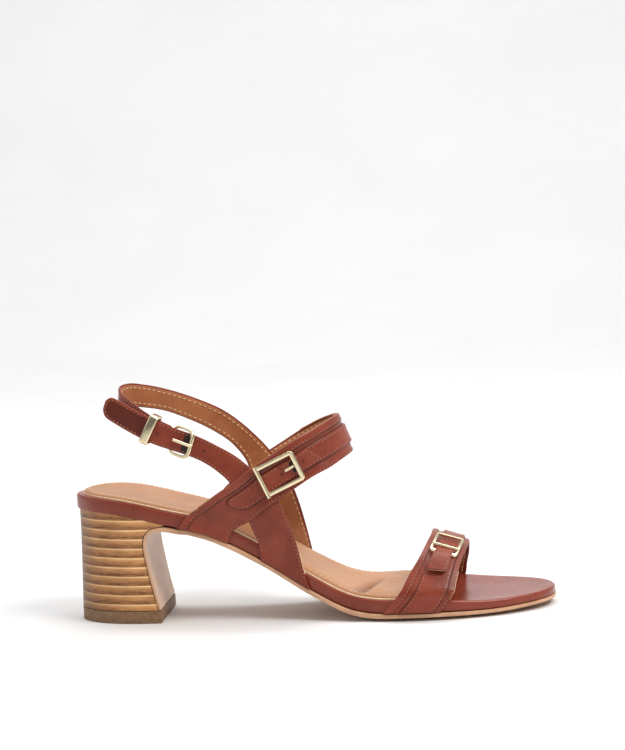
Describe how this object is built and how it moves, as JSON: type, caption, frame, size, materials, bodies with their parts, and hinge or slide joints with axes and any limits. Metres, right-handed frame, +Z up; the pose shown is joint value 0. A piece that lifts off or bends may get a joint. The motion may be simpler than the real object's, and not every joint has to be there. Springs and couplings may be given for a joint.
{
  "type": "block heel sandal",
  "caption": "Strappy block heel sandal with crossing instep and sling straps, a toe strap, small gold buckles and a padded footbed on a stacked heel.",
  "frame": {"origin": "middle of the heel lift's floor face", "axes": "+X from heel to toe, +Y to the inner side of the foot, +Z up"},
  "size_m": [0.2385, 0.0861, 0.1172],
  "materials": {
    "lift": "matt dark brown",
    "wood": "stacked layers, satin",
    "outsole": "plain tan, matt",
    "wrap": "smooth brown, semi-gloss",
    "lining": "soft tan, matt",
    "strap": "smooth reddish brown, semi-gloss, tan lining",
    "metal": "pale gold, polished"
  },
  "bodies": {
    "root": {"heel_lift": "lift", "heel_block": "wood", "outsole": "outsole", "platform": "wrap", "footbed_pad": "lining", "rear_upper": "strap", "toe_strap": "strap", "ankle_buckle": "metal", "ankle_pin": "metal", "ankle_keeper": "metal", "instep_buckle": "metal", "instep_pin": "metal", "toe_buckle": "metal"}
  },
  "joints": []
}
